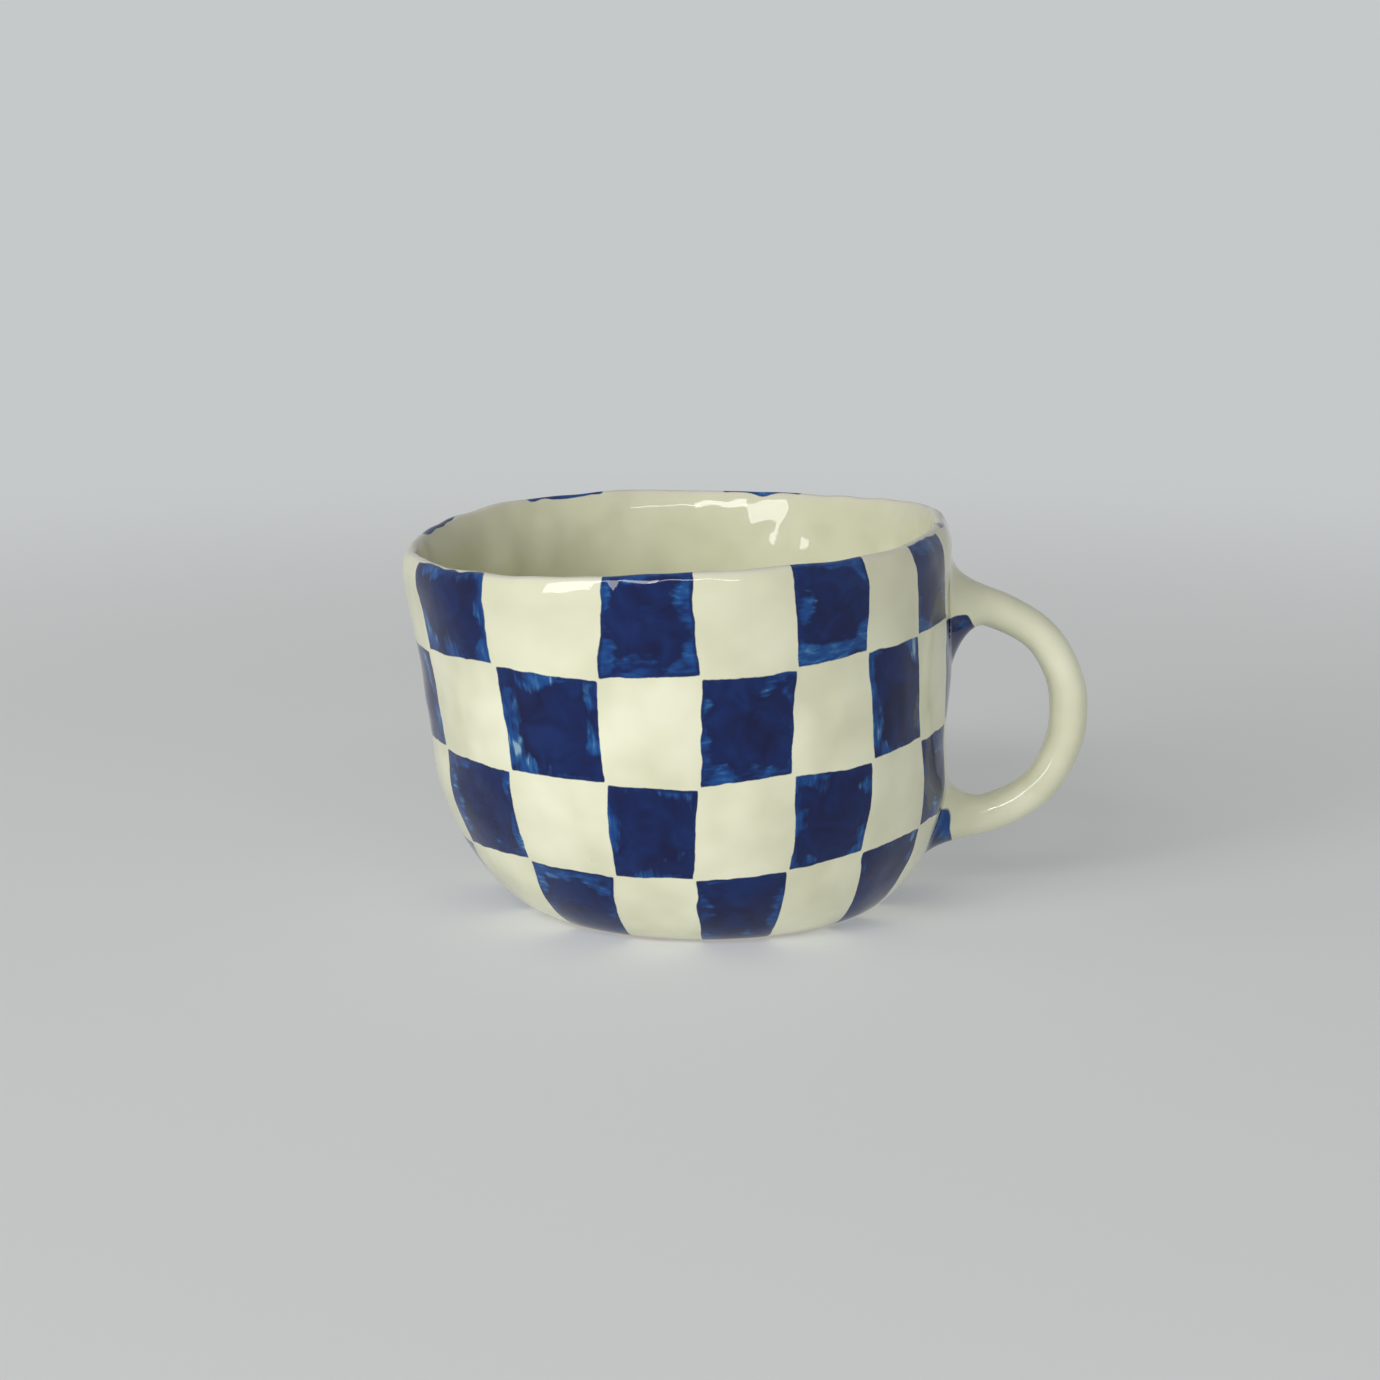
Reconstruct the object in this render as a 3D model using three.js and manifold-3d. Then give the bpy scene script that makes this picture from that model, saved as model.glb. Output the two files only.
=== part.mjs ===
// Hand-built stoneware mug: a clay floor slab, a wide pinched wall with an uneven rim,
// a coil of clay pressed into the inside corner, and a round coil handle whose two ends
// are worked out over the wall in smeared roots.
// Millimetres, +Z up. The origin is the middle of the base, on the plane that it rests on.
// +X points to the handle and -Y to the side that faces whoever looks at it.
import * as THREE from 'three';
import { mergeVertices } from 'three/addons/utils/BufferGeometryUtils.js';
import Module from 'manifold-3d';

const wasm = await Module();
wasm.setup();

// The cup, outside
const cupHeight = 72; // resting plane to the rim's crest, on average
const rimRadius = 52.8; // at the height of the crest
const bellyRadius = 49.8;
const bellyHeight = 32; // where the round belly becomes the nearly straight wall
const baseRadius = 31; // the flat that the cup stands on
const bellyPower = 1.8; // 2 would be an ellipse, less is leaner
const lean = 5.6; // how far the rim's middle has moved to the left of the base's
const rimWave = 3; // the most that the rim rises or falls

// Clay thicknesses
const wallThickness = 4;
const footThickening = 2.6; // what the wall gains towards the floor
const floorThickness = 5;
const seamSize = 7; // how far the corner coil reaches up the wall and over the floor
const seamEdge = 0.5; // what is left of it where it is smeared thin

// Marks of the fingers that pinched the wall
const dentDepth = 0.6;
const dentSpread = 9;

// The handle, which lies in the plane of X and Z
const handleReach = 22.6; // from the wall's side to the middle of the coil
const handleThickness = 7.7; // across the coil, in its plane
const handleWidth = 8.8; // across the coil, the other way
const handleSwell = 0.2; // how much the coil thickens and thins on its way
const handleSwells = 2.5; // how many times it does so
const upperRootBelowRim = 13; // from the crest's average height to the upper root's middle
const upperRootHeight = cupHeight - upperRootBelowRim;
const lowerRootHeight = 15.2;

// Where the roots die out on the wall, from the root's height
const upperRootRise = 10;
const upperRootDrop = 12.5;
const upperRootHalfWidth = 9.5;
const lowerRootRise = 8.5;
const lowerRootDrop = 7.5;
const lowerRootHalfWidth = 8.5;

// The clearance between pieces that are luted together
const fitGap = 0.3;
const cutOverrun = 6;

// Steps: around the cup, up its wall, over its rim, along the handle and its roots
const turnSteps = 84;
const outsideSteps = 19;
const lipSteps = 6;
const insideSteps = 15;
const seamSteps = 5;
const slabSteps = 6;
const coilSteps = 20;
const handleSteps = 30;
const rootSteps = 7;

// Rim height at 16 even directions, counter-clockwise from the handle, in shares of rimWave
const rimHeightShares = [
  1.02, 0.79, 0.28, 0.03, 0.02, 0, -0.22, -0.66,
  -0.98, -0.85, -0.72, -0.28, 0.14, 0.33, 0.39, 0.71,
];

// One row for each dent: its direction as a share of a turn from the handle, its height as a
// share of cupHeight, and its push outwards as a share of dentDepth, so inwards is below zero.
const dentShares = [
  [0.5, 0.82, 0.8], [0.5, 0.68, -0.9], [0.49, 0.46, -0.3], [0.5, 0.25, 0.9], [0.5, 0.12, -0.8],
  [0.99, 0.44, -0.9], [0, 0.68, 0.5], [0.95, 0.3, 0.6], [0.93, 0.62, -0.5],
  [0.88, 0.78, -0.6], [0.86, 0.4, 0.7], [0.82, 0.6, -0.5], [0.81, 0.22, -0.6],
  [0.78, 0.82, 0.6], [0.77, 0.44, -0.8], [0.73, 0.66, 0.7], [0.72, 0.26, 0.6],
  [0.69, 0.84, -0.7], [0.67, 0.48, 0.6], [0.64, 0.66, -0.6], [0.63, 0.28, -0.6],
  [0.6, 0.84, 0.6], [0.57, 0.5, -0.6], [0.56, 0.3, 0.5], [0.44, 0.7, 0.6],
  [0.42, 0.36, -0.7], [0.37, 0.84, -0.6], [0.35, 0.5, 0.7], [0.31, 0.24, -0.5],
  [0.29, 0.7, -0.8], [0.25, 0.44, 0.6], [0.22, 0.8, 0.7], [0.2, 0.26, -0.7],
  [0.16, 0.6, -0.6], [0.12, 0.82, 0.6], [0.11, 0.38, 0.7], [0.06, 0.56, -0.6], [0.05, 0.2, 0.5],
];

// The middle of the handle's coil: shares of handleReach out from the wall's side, and shares
// of the way up from the lower root to the upper one
const handleCurveShares = [
  [0, 1], [0.3, 0.957], [0.55, 0.9], [0.78, 0.813], [0.975, 0.626], [1, 0.5],
  [0.97, 0.374], [0.79, 0.194], [0.635, 0.11], [0.3, 0.025], [0, 0],
];
const handleStartShare = 0.115; // where the upper root hands over to the bare coil
const handleEndShare = 0.885; // and where the lower root takes over
const rootPullShare = 0.42; // how long the roots keep the coil's direction, then the wall's
const slopeStepShare = 0.01; // the step that slopes are read over, as a share of dentSpread

// How strongly steps crowd towards the round bottom
const wallCrowding = 1.4;
const slabCrowding = 2;

const fullTurn = 2 * Math.PI;

// A smooth closed curve through a table of values at even directions.
function aroundTable(values, angle) {
  const count = values.length;
  const place = (((angle / fullTurn) % 1) + 1) % 1 * count;
  const first = Math.floor(place);
  const t = place - first;
  const [a, b, c, d] = [-1, 0, 1, 2].map((step) => values[(first + step + count) % count]);
  const bend = (3 * (b - c) + d - a) * t + 2 * a - 5 * b + 4 * c - d;
  return b + 0.5 * t * (c - a + t * bend);
}

function rimHeight(angle) {
  return cupHeight + rimWave * aroundTable(rimHeightShares, angle);
}

// The outside radius at a height, before the finger marks: a round belly, then a wall that
// opens a little towards the rim.
function bodyRadius(z) {
  if (z >= bellyHeight) {
    const rise = (z - bellyHeight) / (cupHeight - bellyHeight);
    return bellyRadius + (rimRadius - bellyRadius) * rise;
  }
  const drop = 1 - Math.max(z, 0) / bellyHeight;
  const swell = (1 - drop ** bellyPower) ** (1 / bellyPower);
  return baseRadius + (bellyRadius - baseRadius) * swell;
}

function bodyMiddle(z) {
  return -lean * z / cupHeight;
}

// How far the fingers have moved the wall outwards at a point.
function fingerPush(angle, z) {
  let push = 0;
  for (const [turnShare, heightShare, pushShare] of dentShares) {
    const turn = angle / fullTurn - turnShare;
    const along = (turn - Math.round(turn)) * fullTurn * bellyRadius;
    const up = z - heightShare * cupHeight;
    push += pushShare * Math.exp(-(along ** 2 + up ** 2) / dentSpread ** 2);
  }
  return dentDepth * push;
}

// A point of the cup at a direction and a height, so far in from its outside.
function cupPoint(angle, z, inset = 0) {
  const radius = bodyRadius(z) + fingerPush(angle, z) - inset;
  return new THREE.Vector3(
    bodyMiddle(z) + radius * Math.cos(angle),
    radius * Math.sin(angle),
    z,
  );
}

// The direction that the outside faces at a point, from two short steps along it.
function cupNormal(angle, z) {
  const step = dentSpread * slopeStepShare;
  const here = cupPoint(angle, z);
  const up = cupPoint(angle, z + step).sub(here);
  const along = cupPoint(angle + step / bellyRadius, z).sub(here);
  return along.cross(up).normalize();
}

function thicknessAt(z) {
  return wallThickness + footThickening * Math.max(0, 1 - z / bellyHeight) ** 2;
}

function directions(count) {
  return Array.from({ length: count }, (_, step) => fullTurn * step / count);
}

// Closed rings of points joined into a skin: a ring of rings, or a stack with flat ends.
// hubs are the middles of a stack's two end faces.
function skinRings(rings, hubs = null) {
  const across = rings[0].length;
  const positions = rings.flat().flatMap((point) => point.toArray());
  const triangles = [];
  const bands = hubs ? rings.length - 1 : rings.length;
  for (let ring = 0; ring < bands; ring++) {
    const next = (ring + 1) % rings.length;
    for (let place = 0; place < across; place++) {
      const after = (place + 1) % across;
      const a = ring * across + place;
      const b = ring * across + after;
      const c = next * across + after;
      const d = next * across + place;
      triangles.push(a, b, c, a, c, d);
    }
  }
  if (hubs) {
    const firstHub = positions.length / 3;
    hubs.forEach((hub) => positions.push(...hub.toArray()));
    const last = (rings.length - 1) * across;
    for (let place = 0; place < across; place++) {
      const after = (place + 1) % across;
      triangles.push(firstHub, after, place);
      triangles.push(firstHub + 1, last + place, last + after);
    }
  }
  const geometry = new THREE.BufferGeometry();
  geometry.setAttribute('position', new THREE.Float32BufferAttribute(positions, 3));
  geometry.setIndex(triangles);
  return geometry;
}

function middleOf(ring) {
  const sum = ring.reduce((total, point) => total.add(point), new THREE.Vector3());
  return sum.divideScalar(ring.length);
}

function stackRings(rings) {
  return skinRings(rings, [middleOf(rings[0]), middleOf(rings[rings.length - 1])]);
}

// A section at each direction, joined into a closed ring around the cup.
function turnSection(sectionAt) {
  return skinRings(directions(turnSteps).reverse().map(sectionAt));
}

function toSolid(geometry) {
  const merged = mergeVertices(geometry);
  return new wasm.Manifold(new wasm.Mesh({
    numProp: 3,
    vertProperties: new Float32Array(merged.attributes.position.array),
    triVerts: new Uint32Array(merged.index.array),
  }));
}

function toGeometry(solid) {
  const mesh = solid.getMesh();
  const geometry = new THREE.BufferGeometry();
  geometry.setAttribute('position', new THREE.BufferAttribute(mesh.vertProperties, 3));
  geometry.setIndex(new THREE.BufferAttribute(mesh.triVerts, 1));
  return geometry;
}

// Heights from one to another, closest together at the start.
function crowdedHeights(from, to, steps, crowding) {
  const share = (step) => (step / steps) ** crowding;
  return Array.from({ length: steps + 1 }, (_, step) => from + (to - from) * share(step));
}

// The wall in section at one direction: up the outside, over the round lip, down the inside.
function wallSection(angle) {
  const lip = wallThickness / 2;
  const lipHeight = rimHeight(angle) - lip;
  const heights = crowdedHeights(floorThickness, lipHeight, outsideSteps, wallCrowding);
  const outside = heights.map((z) => cupPoint(angle, z));
  const over = Array.from({ length: lipSteps - 1 }, (_, step) => {
    const round = Math.PI * (step + 1) / lipSteps;
    const point = cupPoint(angle, lipHeight, lip - lip * Math.cos(round));
    point.z += lip * Math.sin(round);
    return point;
  });
  const inner = crowdedHeights(floorThickness, lipHeight, insideSteps, wallCrowding);
  const inside = inner.reverse().map((z) => cupPoint(angle, z, thicknessAt(z)));
  return [...outside, ...over, ...inside];
}

function makeWall() {
  return turnSection(wallSection);
}

// The slab carries the lowest part of the belly on its edge, and the wall stands on it.
function makeFloorSlab() {
  const heights = crowdedHeights(0, floorThickness, slabSteps, slabCrowding);
  const rings = heights.map((z) => directions(turnSteps).map((angle) => cupPoint(angle, z)));
  return stackRings(rings);
}

// The corner coil in section: against the wall, on the floor, and hollow on its free side.
function seamSection(angle) {
  const reach = seamSize - seamEdge;
  const againstWall = Array.from({ length: seamSteps + 1 }, (_, step) => {
    const z = floorThickness + seamSize * step / seamSteps;
    return cupPoint(angle, z, thicknessAt(z) + fitGap);
  });
  const freeSide = Array.from({ length: seamSteps + 1 }, (_, step) => {
    const round = Math.PI / 2 * step / seamSteps;
    const z = floorThickness + seamEdge + reach * (1 - Math.sin(round));
    const out = seamEdge + reach * (1 - Math.cos(round));
    return cupPoint(angle, z, thicknessAt(z) + fitGap + out);
  });
  const toe = freeSide[seamSteps].clone();
  toe.z = floorThickness;
  return [...againstWall, ...freeSide, toe];
}

function makeFloorSeam() {
  return turnSection(seamSection);
}

// The line that the middle of the coil follows, from the upper root to the lower.
function handleCurve() {
  const middleHeight = (upperRootHeight + lowerRootHeight) / 2;
  const side = bodyMiddle(middleHeight) + bodyRadius(middleHeight);
  const points = handleCurveShares.map(([outShare, upShare]) => new THREE.Vector3(
    side + handleReach * outShare,
    0,
    lowerRootHeight + (upperRootHeight - lowerRootHeight) * upShare,
  ));
  return new THREE.CatmullRomCurve3(points, false, 'centripetal');
}

// One ring of the coil. Its first point is on the side that faces away from the finger gap.
function coilRing(curve, share, shift = 0) {
  const tangent = curve.getTangentAt(share);
  const middle = curve.getPointAt(share).addScaledVector(tangent, shift);
  const outward = new THREE.Vector3(-tangent.z, 0, tangent.x);
  const swell = handleSwell * Math.sin(handleSwells * fullTurn * share);
  return directions(coilSteps).map((round) => middle.clone()
    .addScaledVector(outward, (handleThickness + swell) / 2 * Math.cos(round))
    .add(new THREE.Vector3(0, -(handleWidth + swell) / 2 * Math.sin(round), 0)));
}

function makeHandle(curve) {
  const run = handleEndShare - handleStartShare;
  const inset = fitGap / 2;
  const rings = Array.from({ length: handleSteps + 1 }, (_, step) => {
    const share = handleStartShare + run * step / handleSteps;
    const shift = step === 0 ? inset : step === handleSteps ? -inset : 0;
    return coilRing(curve, share, shift);
  });
  return stackRings(rings);
}

// A smeared root: from the coil's ring, each line keeps the coil's direction at first and
// then turns to lie along the wall.
function rootRings(curve, share, into, foot) {
  const start = coilRing(curve, share, into * fitGap / 2);
  const coilDirection = curve.getTangentAt(share).multiplyScalar(into);
  const footMiddle = cupPoint(0, foot.height);
  const lines = start.map((from, place) => {
    const round = fullTurn * place / coilSteps;
    const up = -into * Math.cos(round);
    const z = foot.height + up * (up > 0 ? foot.rise : foot.drop);
    const angle = -foot.halfWidth * Math.sin(round) / bodyRadius(z);
    const to = cupPoint(angle, z);
    const landing = to.clone().sub(footMiddle).projectOnPlane(cupNormal(angle, z)).normalize();
    const pull = rootPullShare * from.distanceTo(to);
    return new THREE.CubicBezierCurve3(
      from,
      from.clone().addScaledVector(coilDirection, pull),
      to.clone().addScaledVector(landing, -pull),
      to,
    );
  });
  return Array.from({ length: rootSteps + 1 }, (_, step) => (
    lines.map((line) => line.getPoint(step / rootSteps))
  ));
}

// The room that the cup takes, with the clearance around it, to cut the roots to fit.
function cupEnvelope() {
  const top = cupHeight + rimWave + cutOverrun;
  const heights = crowdedHeights(0, top, outsideSteps + lipSteps, wallCrowding);
  const rings = heights.map((z) => (
    directions(turnSteps).map((angle) => cupPoint(angle, z, -fitGap))
  ));
  return toSolid(stackRings(rings));
}

function makeRoot(curve, share, into, foot, envelope) {
  const rings = rootRings(curve, share, into, foot);
  const hubs = [middleOf(rings[0]), cupPoint(0, foot.height, wallThickness / 2)];
  const skin = into > 0 ? skinRings(rings, hubs) : skinRings(rings.reverse(), hubs.reverse());
  return toGeometry(toSolid(skin).subtract(envelope));
}

function addPiece(group, name, geometry, color, roughness) {
  const material = new THREE.MeshStandardMaterial({ color, roughness, metalness: 0 });
  geometry.computeVertexNormals();
  const mesh = new THREE.Mesh(geometry, material);
  mesh.name = name;
  group.add(mesh);
}

function makeMug() {
  const mug = new THREE.Group();
  const curve = handleCurve();
  const envelope = cupEnvelope();
  const upperFoot = {
    height: upperRootHeight,
    rise: upperRootRise,
    drop: upperRootDrop,
    halfWidth: upperRootHalfWidth,
  };
  const lowerFoot = {
    height: lowerRootHeight,
    rise: lowerRootRise,
    drop: lowerRootDrop,
    halfWidth: lowerRootHalfWidth,
  };
  addPiece(mug, 'cup_wall', makeWall(), 0xe9e7cf, 0.15);
  addPiece(mug, 'floor_slab', makeFloorSlab(), 0xd9cdb4, 0.7);
  addPiece(mug, 'floor_seam_coil', makeFloorSeam(), 0xe6e2c8, 0.2);
  addPiece(mug, 'handle_coil', makeHandle(curve), 0xe9e5cc, 0.15);
  const upperRoot = makeRoot(curve, handleStartShare, -1, upperFoot, envelope);
  addPiece(mug, 'upper_handle_root', upperRoot, 0xe8e4ca, 0.15);
  const lowerRoot = makeRoot(curve, handleEndShare, 1, lowerFoot, envelope);
  addPiece(mug, 'lower_handle_root', lowerRoot, 0xe8e4ca, 0.15);
  return mug;
}

export default makeMug();
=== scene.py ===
import math

import bpy
import numpy as np
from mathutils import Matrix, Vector, noise


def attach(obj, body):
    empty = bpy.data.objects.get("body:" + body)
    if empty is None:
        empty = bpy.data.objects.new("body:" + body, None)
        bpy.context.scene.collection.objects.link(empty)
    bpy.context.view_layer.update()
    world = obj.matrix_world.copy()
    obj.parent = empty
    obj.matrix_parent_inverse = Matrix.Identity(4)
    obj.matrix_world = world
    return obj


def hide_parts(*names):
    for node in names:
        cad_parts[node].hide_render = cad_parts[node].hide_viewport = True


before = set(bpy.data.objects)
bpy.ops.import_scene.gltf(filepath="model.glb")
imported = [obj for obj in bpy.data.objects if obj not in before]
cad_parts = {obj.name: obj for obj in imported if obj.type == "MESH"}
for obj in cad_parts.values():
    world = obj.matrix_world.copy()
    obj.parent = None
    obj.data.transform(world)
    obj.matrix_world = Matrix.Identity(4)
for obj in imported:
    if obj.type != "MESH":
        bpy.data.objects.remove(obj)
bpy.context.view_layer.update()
print("frame loaded:", len(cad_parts), "clay pieces")

# Lengths are in millimetres; putMesh turns the points to metres.
millimetre = 0.001
fullTurn = 2 * math.pi

# Fine enough that reflections run smoothly
steps = {"around": 360, "under": 14, "foot": 3, "belly": 22, "outside": 110, "lip": 8,
         "inside": 62, "seam": 16, "floor": 26, "hidden": 5,
         "coilAround": 56, "coil": 150, "root": 44, "coilBend": 200, "coilLine": 3000}

# Where each noise is read, so that no two run alike
readAt = {"ripple": 50, "flute": 20, "pinch": 70, "hollow": 9, "rimPaint": 3, "rootPaint": 5}


def unit(vectors):
    return vectors / np.maximum(np.linalg.norm(vectors, axis=-1, keepdims=True), 1e-12)


def smoothStep(low, high, values):
    share = np.clip((values - low) / (high - low), 0, 1)
    return share * share * (3 - 2 * share)


def clayNoise(points, size):
    flat = (points / size).reshape(-1, 3)
    return np.array([noise.noise(Vector(point)) for point in flat]).reshape(points.shape[:-1])


# A smooth closed curve through values at even directions
def aroundTable(values, angle):
    values = np.asarray(values, float)
    place = (angle / fullTurn) % 1 * len(values)
    first = np.floor(place).astype(int)
    t = place - first
    a, b, c, d = (values[(first + step) % len(values)] for step in (-1, 0, 1, 2))
    return b + 0.5 * t * (c - a + t * ((3 * (b - c) + d - a) * t + 2 * a - 5 * b + 4 * c - d))


cup = {
    "height": 72,  # to the crest of the rim, on average
    "rimRadius": 52.8,
    "bellyRadius": 49.8,
    "bellyHeight": 32,
    "baseRadius": 31,
    "bellyPower": 1.8,
    "lean": 5.6,  # how far the rim's middle has moved away from the handle
    "wall": 4,
    "footThickening": 2.6,
    "floor": 5,
    "seam": 7,  # how far the corner coil reaches up the wall and over the floor
    "rimWave": 3,
    # at 16 even directions, counter-clockwise from the handle
    "rimShares": [1.02, 0.79, 0.28, 0.03, 0.02, 0, -0.22, -0.66,
                  -0.98, -0.85, -0.72, -0.28, 0.14, 0.33, 0.39, 0.71],
    "dentDepth": 0.6,
    "dentSpread": 9,
    # share of a turn, share of the height, push outwards as a share of dentDepth
    "dents": [
        (0.5, 0.82, 0.8), (0.5, 0.68, -0.9), (0.49, 0.46, -0.3), (0.5, 0.25, 0.9),
        (0.5, 0.12, -0.8), (0.99, 0.44, -0.9), (0, 0.68, 0.5), (0.95, 0.3, 0.6),
        (0.93, 0.62, -0.5), (0.88, 0.78, -0.6), (0.86, 0.4, 0.7), (0.82, 0.6, -0.5),
        (0.81, 0.22, -0.6), (0.78, 0.82, 0.6), (0.77, 0.44, -0.8), (0.73, 0.66, 0.7),
        (0.72, 0.26, 0.6), (0.69, 0.84, -0.7), (0.67, 0.48, 0.6), (0.64, 0.66, -0.6),
        (0.63, 0.28, -0.6), (0.6, 0.84, 0.6), (0.57, 0.5, -0.6), (0.56, 0.3, 0.5),
        (0.44, 0.7, 0.6), (0.42, 0.36, -0.7), (0.37, 0.84, -0.6), (0.35, 0.5, 0.7),
        (0.31, 0.24, -0.5), (0.29, 0.7, -0.8), (0.25, 0.44, 0.6), (0.22, 0.8, 0.7),
        (0.2, 0.26, -0.7), (0.16, 0.6, -0.6), (0.12, 0.82, 0.6), (0.11, 0.38, 0.7),
        (0.06, 0.56, -0.6), (0.05, 0.2, 0.5),
    ],
}
seamTop = cup["floor"] + cup["seam"]

# What the hands leave in the clay beyond the dents
touch = {
    "skin": 0.2,  # keeps the lumps within the solids' size
    "footCalm": 8,  # height over which the lumps grow from nothing at the foot
    "lump": 0.36, "lumpSize": 10,
    "ripple": 0.05, "rippleSize": 4,
    "flute": 1.2, "fluteWidth": 9, "fluteLength": 40,  # upright hollows drawn inside
    "fluteFrom": 2, "fluteWhole": 13,  # how far below the crest they begin and reach full depth
    "seamCalm": 10,  # height over which they run out above the corner coil
    "pinch": 0.5, "pinchSize": 16,  # lumps that the thumbs left inside the rim
    # how far below the crest those begin, are whole, begin to fade and are gone
    "pinchFrom": 0.5, "pinchWhole": 4, "pinchFades": 10, "pinchGone": 26,
    "nip": 0.2, "nipSize": 5,  # and finer ones along the lip
    "crestDrop": 0.05, "crestWobble": 0.3, "crestSize": 8,  # up and down along the rim
    "floorLump": 0.3, "floorLumpSize": 12,
    "floorCalm": 0.3,  # share of the way in from the corner coil over which those grow
    "hollow": 0.3,  # the middle of the underside stands this much clear of the table
    "hollowUneven": 0.5, "hollowSize": 7,
    "glazeLine": 0.4, "glazeWander": 0.5, "glazeWanderSize": 10,  # height the glaze stops at
}


def bodyRadius(z):
    drop = np.clip(1 - z / cup["bellyHeight"], 0, 1)
    swell = (1 - drop ** cup["bellyPower"]) ** (1 / cup["bellyPower"])
    belly = cup["baseRadius"] + (cup["bellyRadius"] - cup["baseRadius"]) * swell
    rise = np.maximum(z - cup["bellyHeight"], 0) / (cup["height"] - cup["bellyHeight"])
    return belly + (cup["rimRadius"] - cup["bellyRadius"]) * rise


def bodyMiddle(z):
    return -cup["lean"] * z / cup["height"]


def fingerPush(angle, z):
    push = 0 * angle
    for turnShare, heightShare, pushShare in cup["dents"]:
        turn = angle / fullTurn - turnShare
        along = (turn - np.round(turn)) * fullTurn * cup["bellyRadius"]
        up = z - heightShare * cup["height"]
        push = push + pushShare * np.exp(-(along ** 2 + up ** 2) / cup["dentSpread"] ** 2)
    return cup["dentDepth"] * push


def onCircle(angle, radius, z):
    return np.stack([bodyMiddle(z) + radius * np.cos(angle), radius * np.sin(angle), z], -1)


# The clay's surface at a direction and a height, so far in from its outside
def cupPoint(angle, z, inset=0.0):
    angle, z, inset = np.broadcast_arrays(angle, z, inset)
    radius = bodyRadius(z) + fingerPush(angle, z) - inset - touch["skin"]
    plain = onCircle(angle, radius, z)
    uneven = touch["lump"] * clayNoise(plain, touch["lumpSize"])
    uneven = uneven + touch["ripple"] * clayNoise(plain + readAt["ripple"], touch["rippleSize"])
    return onCircle(angle, radius + uneven * smoothStep(0, touch["footCalm"], z), z)


def cupNormal(angle, z, step=0.4):
    here = cupPoint(angle, z)
    along = cupPoint(angle + step / cup["bellyRadius"], z) - here
    return unit(np.cross(along, cupPoint(angle, z + step) - here))


def thicknessAt(z):
    return cup["wall"] + cup["footThickening"] * np.maximum(0, 1 - z / cup["bellyHeight"]) ** 2


# The brushed check: 16 upright lines and 3 level ones. Directions here are in degrees from the
# front of the mug, positive towards the handle.
checks = {
    "heights": [0, 16, 34, 54, 74],
    "lines": [  # each upright line's direction at those heights
        (-73, -66, -67, -66, -70), (-45, -42, -41, -42, -42), (-23, -19, -18, -17, -14),
        (-1, -1, 2, 3.5, 4), (20, 21, 22, 24, 24), (44, 39.5, 42, 41, 42),
        (61, 61, 60, 59, 56), (77, 76, 75, 75, 72), (102, 101, 100, 101, 101),
        (125, 127, 126, 125, 126), (150, 148, 149, 150, 149), (172, 171, 170, 169, 169),
        (193, 195, 196, 196, 197), (218, 217, 216, 216, 217), (236, 237, 239, 238, 237),
        (258, 260, 259, 258, 258),
    ],
    "rows": [  # the level lines' heights where they cross each upright one
        [52.8, 53.4, 52.7, 54, 54.3, 56, 56.5, 57.3, 57, 56, 55, 54.5, 54, 53, 53.5, 53],
        [34, 33.8, 33.5, 33.2, 34.8, 35.6, 37, 37.5, 37, 36, 35, 35.5, 34.5, 33.5, 34, 33.5],
        [15.5, 16, 15.4, 15.4, 16.3, 18, 19.7, 19.9, 19.3, 17.5, 17, 16.5, 16, 16, 15.5, 15.8],
    ],
    "top": 74,
    "firstLine": -66,  # where the map on the mesh starts
    # how far past the crest the brush went in each blue column of the top row
    "over": [-0.3, 1.9, 1.5, 1.3, 0.3, 1.1, 1.2, 0.8],
}


# Column and row of the brushed check at a place, whole numbers on the lines
def checkPlace(angle, z):
    front = np.degrees(angle) + 90
    lines = [np.interp(z, checks["heights"], line) for line in checks["lines"]]
    lines = [lines[-1] - 360, *lines, lines[0] + 360, lines[1] + 360]
    column = sum(np.clip((front - low) / (high - low), 0, 1)
                 for low, high in zip(lines, lines[1:])) - 1
    count = len(checks["lines"])
    levels = [np.interp(column % count, range(count + 1), row + row[:1])
              for row in checks["rows"]]
    levels = [checks["top"] + 0 * z, *levels, 0 * z]
    row = sum(np.clip((high - z) / (high - low), 0, 1) for high, low in zip(levels, levels[1:]))
    return np.stack([column, row], -1)


# Which way a grid of closed rings faces
def gridNormals(points):
    around = np.roll(points, -1, axis=1) - np.roll(points, 1, axis=1)
    return unit(np.cross(around, np.gradient(points, axis=0)))


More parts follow.
